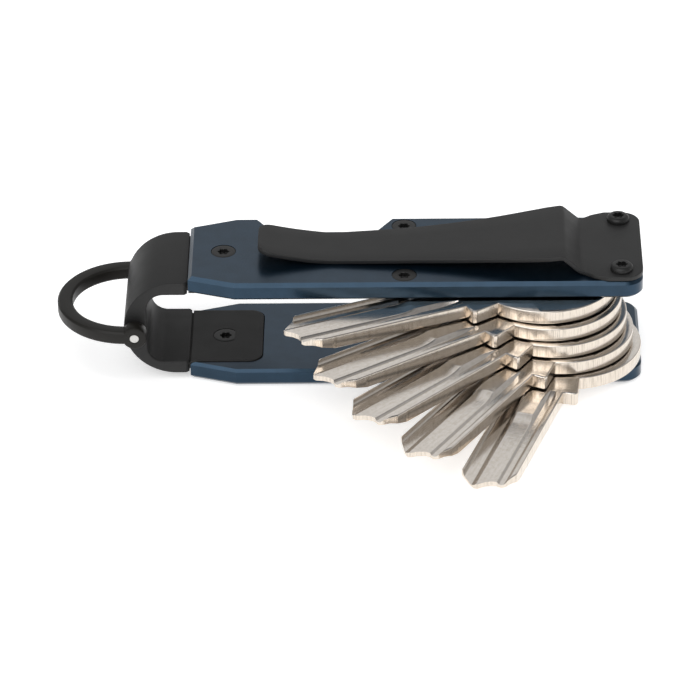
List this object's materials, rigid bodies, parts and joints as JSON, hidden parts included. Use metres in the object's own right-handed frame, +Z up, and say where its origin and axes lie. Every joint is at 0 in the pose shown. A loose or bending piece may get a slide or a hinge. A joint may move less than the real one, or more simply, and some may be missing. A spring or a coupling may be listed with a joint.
{
  "type": "key organiser",
  "caption": "Pocket key organiser: side plates joined by a yoke, keys that fold out on a post between them, a spring pocket clip and a hinged ring at the end.",
  "frame": {"origin": "centre of the bottom plate's outer face", "axes": "+X along the plates to the pivot end, +Y to the edge with the finger notch, +Z up through the stack to the clip side"},
  "size_m": [0.0959, 0.0603, 0.0228],
  "materials": {
    "anodised_blue": "dark blue anodised, satin",
    "yoke_black": "matt black coating",
    "clip_black": "matt black coated spring steel",
    "ring_black": "satin black coating",
    "screw_black": "black oxide",
    "bare_steel": "bare stainless steel",
    "key_nickel": "nickel-plated brass, milled"
  },
  "bodies": {
    "organiser": {"bottom_plate": "anodised_blue", "top_plate": "anodised_blue", "yoke": "yoke_black", "yoke_screw_upper": "screw_black", "yoke_screw_lower": "screw_black", "blanking_screws": "screw_black", "pocket_clip": "clip_black", "clip_screws": "screw_black", "pivot_post": "bare_steel", "pivot_screw_upper": "bare_steel", "pivot_screw_lower": "bare_steel", "washer_top": "bare_steel", "washer_bottom": "bare_steel", "key_spacers": "bare_steel"},
    "key_1": {"key_1": "key_nickel"},
    "key_2": {"key_2": "key_nickel"},
    "key_3": {"key_3": "key_nickel"},
    "key_4": {"key_4": "key_nickel"},
    "key_5": {"key_5": "key_nickel"},
    "ring": {"d_ring": "ring_black", "ring_pin": "bare_steel"}
  },
  "joints": [
    {"name": "key_1_swing", "type": "hinge", "parent": "organiser", "child": "key_1", "pos_m": [0.0271, 0, 0.01485], "axis": [0, 0, 1], "range_deg": [-23.3, 156.7]},
    {"name": "key_2_swing", "type": "hinge", "parent": "organiser", "child": "key_2", "pos_m": [0.0271, 0, 0.01225], "axis": [0, 0, 1], "range_deg": [-35.1, 144.9]},
    {"name": "key_3_swing", "type": "hinge", "parent": "organiser", "child": "key_3", "pos_m": [0.0271, 0, 0.00965], "axis": [0, 0, 1], "range_deg": [-46.3, 133.7]},
    {"name": "key_4_swing", "type": "hinge", "parent": "organiser", "child": "key_4", "pos_m": [0.0271, 0, 0.00705], "axis": [0, 0, 1], "range_deg": [-58.5, 121.5]},
    {"name": "key_5_swing", "type": "hinge", "parent": "organiser", "child": "key_5", "pos_m": [0.0271, 0, 0.00445], "axis": [0, 0, 1], "range_deg": [-71.5, 108.5]},
    {"name": "ring_hinge", "type": "hinge", "parent": "organiser", "child": "ring", "pos_m": [-0.04585, 0, 0.00965], "axis": [0, 1, 0], "range_deg": [-80, 80]}
  ]
}
